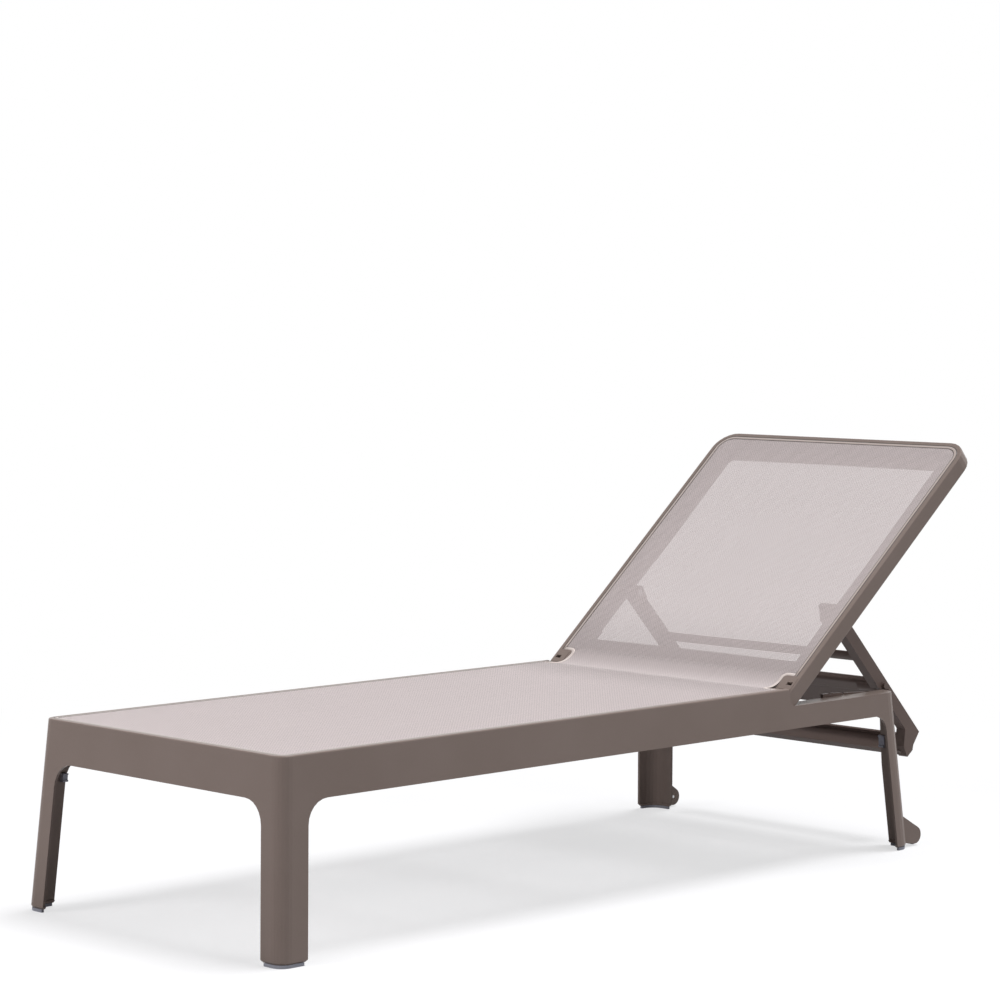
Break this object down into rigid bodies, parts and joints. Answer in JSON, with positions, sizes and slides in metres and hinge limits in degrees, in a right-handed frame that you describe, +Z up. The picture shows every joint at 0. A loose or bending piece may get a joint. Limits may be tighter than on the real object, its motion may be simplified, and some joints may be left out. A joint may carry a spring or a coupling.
{
  "type": "sun lounger",
  "caption": "Stackable moulded sun lounger with a mesh sling, flared corner legs, a raised reclining backrest on a laddered prop and small wheels behind the rear legs.",
  "frame": {"origin": "on the floor under the middle of the lounger's bounding box, with the backrest raised as pictured", "axes": "+X to the lounger's right side as its user lies, which is the near side in the picture; +Y from the foot end to the head end; +Z up"},
  "size_m": [0.7016, 1.8258, 0.787],
  "materials": {
    "taupe_polypropylene": "fine matt moulded grain",
    "pale_mesh": "woven coated mesh",
    "blue_grey_rubber": "matt",
    "zinc_steel": "zinc plated",
    "black_nylon": "satin"
  },
  "bodies": {
    "seat": {"seat_frame": "taupe_polypropylene", "seat_sling": "pale_mesh", "seat_spline": "black_nylon", "rest_rack_left": "black_nylon", "rest_rack_right": "black_nylon", "rack_screw_1_left": "zinc_steel", "rack_screw_2_left": "zinc_steel", "rack_screw_1_right": "zinc_steel", "rack_screw_2_right": "zinc_steel", "foot_cap_foot_left": "blue_grey_rubber", "foot_cap_foot_right": "blue_grey_rubber", "foot_cap_rear_left": "blue_grey_rubber", "foot_cap_rear_right": "blue_grey_rubber", "stacking_bumper_foot_left": "blue_grey_rubber", "stacking_bumper_foot_right": "blue_grey_rubber", "stacking_bumper_rear_left": "blue_grey_rubber", "stacking_bumper_rear_right": "blue_grey_rubber", "wheel_axle_left": "zinc_steel", "wheel_axle_right": "zinc_steel"},
    "backrest": {"backrest_frame": "taupe_polypropylene", "back_sling": "pale_mesh", "back_spline": "black_nylon", "hinge_cover_left": "taupe_polypropylene", "hinge_cover_right": "taupe_polypropylene", "hinge_pin_left": "zinc_steel", "hinge_pin_right": "zinc_steel", "prop_pin_left": "zinc_steel", "prop_pin_right": "zinc_steel"},
    "prop": {"prop_frame": "taupe_polypropylene"},
    "left_wheel": {"wheel_left": "black_nylon"},
    "right_wheel": {"wheel_right": "black_nylon"}
  },
  "joints": [
    {"name": "backrest_hinge", "type": "hinge", "parent": "seat", "child": "backrest", "pos_m": [0, 0.37445, 0.3261], "axis": [1, 0, 0], "range_deg": [-40.3, 24.7]},
    {"name": "prop_hinge", "type": "hinge", "parent": "backrest", "child": "prop", "pos_m": [0, 0.54758, 0.47292], "axis": [1, 0, 0], "range_deg": [-53.6, 87.42]},
    {"name": "left_wheel_spin", "type": "hinge", "parent": "seat", "child": "left_wheel", "pos_m": [-0.3258, 0.72545, 0.0215], "axis": [1, 0, 0], "continuous": true},
    {"name": "right_wheel_spin", "type": "hinge", "parent": "seat", "child": "right_wheel", "pos_m": [0.3258, 0.72545, 0.0215], "axis": [1, 0, 0], "continuous": true}
  ],
  "couplings": [
    {"joint": "prop_hinge", "follows": "backrest_hinge", "ratio": -2.1687}
  ]
}
